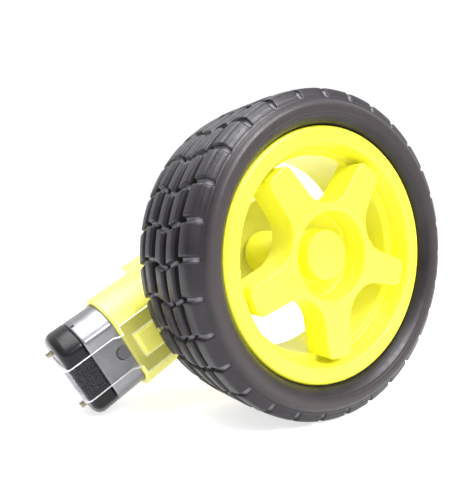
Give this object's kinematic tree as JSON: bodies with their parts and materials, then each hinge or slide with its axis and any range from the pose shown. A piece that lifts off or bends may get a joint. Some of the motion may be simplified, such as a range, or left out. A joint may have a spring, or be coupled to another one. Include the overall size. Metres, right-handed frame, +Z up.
{
  "type": "geared drive wheel",
  "caption": "Rubber-tyred yellow five-arm wheel on the output shaft of a flat yellow gearmotor with a can motor and clear strap, for small robot cars.",
  "frame": {"origin": "on the axle, where the free end of the output shaft leaves the gearbox's inner broad face", "axes": "+Y along the axle away from the wheel, +Z up, -X towards the motor's end; the motor droops below -X by 29.6 degrees, so that the part stands on its tyre and its end cap"},
  "size_m": [0.0798, 0.0555, 0.065],
  "materials": {
    "tyre_rubber": "satin moulded rubber",
    "foam": "open-cell sponge",
    "rim_yellow": "semi-gloss moulded ABS",
    "case_yellow": "semi-gloss, slightly translucent moulded plastic",
    "screw_steel": "zinc plated",
    "gear_white": "moulded acetal",
    "shaft_steel": "ground",
    "brass": "turned",
    "can_steel": "nickel plated drawn steel",
    "cap_black": "satin moulded plastic",
    "copper": "copper",
    "bronze": "sintered",
    "ferrite": "ground ferrite",
    "core_steel": "stamped laminations",
    "strap_clear": "clear flexible plastic"
  },
  "bodies": {
    "gearmotor": {"case_wheel_side": "case_yellow", "case_inner_side": "case_yellow", "case_screws": "screw_steel", "idler_pin": "shaft_steel", "motor_can": "can_steel", "motor_end_cap": "cap_black", "terminals": "brass", "brushes": "copper", "front_bushing": "bronze", "rear_bushing": "bronze", "magnets": "ferrite", "strap": "strap_clear"},
    "wheel": {"tyre": "tyre_rubber", "tyre_foam": "foam", "rim_barrel": "rim_yellow", "rim_arms": "rim_yellow", "rim_centre": "rim_yellow", "rim_boss": "rim_yellow", "output_shaft": "gear_white", "free_shaft_stub": "gear_white"},
    "lay": {"lay_gear": "gear_white"},
    "middle": {"middle_gear": "gear_white"},
    "crown": {"crown_gear": "gear_white"},
    "rotor": {"motor_pinion": "brass", "armature_core": "core_steel", "windings": "copper", "commutator": "copper", "rotor_shaft": "shaft_steel"}
  },
  "joints": [
    {"name": "wheel_spin", "type": "hinge", "parent": "gearmotor", "child": "wheel", "pos_m": [0, 0, 0], "axis": [0, 1, 0], "continuous": true},
    {"name": "lay_gear_spin", "type": "hinge", "parent": "gearmotor", "child": "lay", "pos_m": [-0.01043, -0.0124, -0.00593], "axis": [0, 1, 0], "continuous": true},
    {"name": "middle_gear_spin", "type": "hinge", "parent": "gearmotor", "child": "middle", "pos_m": [0, -0.0094, 0], "axis": [0, 1, 0], "continuous": true},
    {"name": "crown_gear_spin", "type": "hinge", "parent": "gearmotor", "child": "crown", "pos_m": [-0.01043, -0.0074, -0.00593], "axis": [0, 1, 0], "continuous": true},
    {"name": "rotor_spin", "type": "hinge", "parent": "gearmotor", "child": "rotor", "pos_m": [-0.02608, -0.0094, -0.01482], "axis": [0.8694, 0, 0.494], "continuous": true}
  ],
  "couplings": [
    {"joint": "lay_gear_spin", "follows": "wheel_spin", "ratio": -2.2},
    {"joint": "middle_gear_spin", "follows": "wheel_spin", "ratio": 4.84},
    {"joint": "crown_gear_spin", "follows": "wheel_spin", "ratio": -10.648},
    {"joint": "rotor_spin", "follows": "wheel_spin", "ratio": -47.916}
  ]
}
